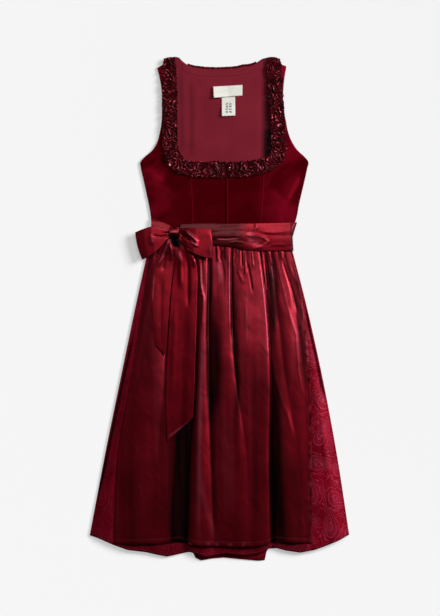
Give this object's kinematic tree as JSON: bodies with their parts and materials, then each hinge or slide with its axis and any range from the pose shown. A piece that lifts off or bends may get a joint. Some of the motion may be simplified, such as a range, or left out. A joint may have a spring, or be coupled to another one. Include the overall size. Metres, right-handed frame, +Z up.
{
  "type": "dirndl dress",
  "caption": "Sleeveless dirndl laid flat: velvet bodice with ruched neckline trim, satin sash tied in a bow at one side, gathered satin apron over a jacquard skirt.",
  "frame": {"origin": "centre of the bounding box in plan, on the surface that the dress lies on", "axes": "+Z up from the surface, +Y towards the shoulders, +X to the right as seen from above (the wearer's left side)"},
  "size_m": [0.609, 1.1849, 0.0349],
  "materials": {
    "velvet": "dark wine velvet",
    "lining": "matte woven lining",
    "ruffle": "ruched velvet ribbon",
    "satin": "wine satin",
    "jacquard": "paisley jacquard",
    "label": "woven label, bare",
    "metal": "small bright hook"
  },
  "bodies": {
    "root": {"bodice_back": "velvet", "bodice_back_lining": "lining", "neck_facing": "lining", "bodice_side_front_left": "velvet", "bodice_side_front_right": "velvet", "bodice_centre_front_left": "velvet", "bodice_centre_front_right": "velvet", "front_placket": "velvet", "front_hook": "metal", "trim_left": "ruffle", "trim_right": "ruffle", "trim_front_left": "ruffle", "trim_front_right": "ruffle", "trim_back": "ruffle", "brand_label": "label", "size_label": "label", "sash_front": "satin", "sash_left": "satin", "sash_back": "satin", "bow_knot": "satin", "bow_loop_left": "satin", "bow_loop_right": "satin", "tie_end_left": "satin", "tie_end_right": "satin", "apron": "satin", "skirt_front": "jacquard", "skirt_back": "jacquard"}
  },
  "joints": []
}
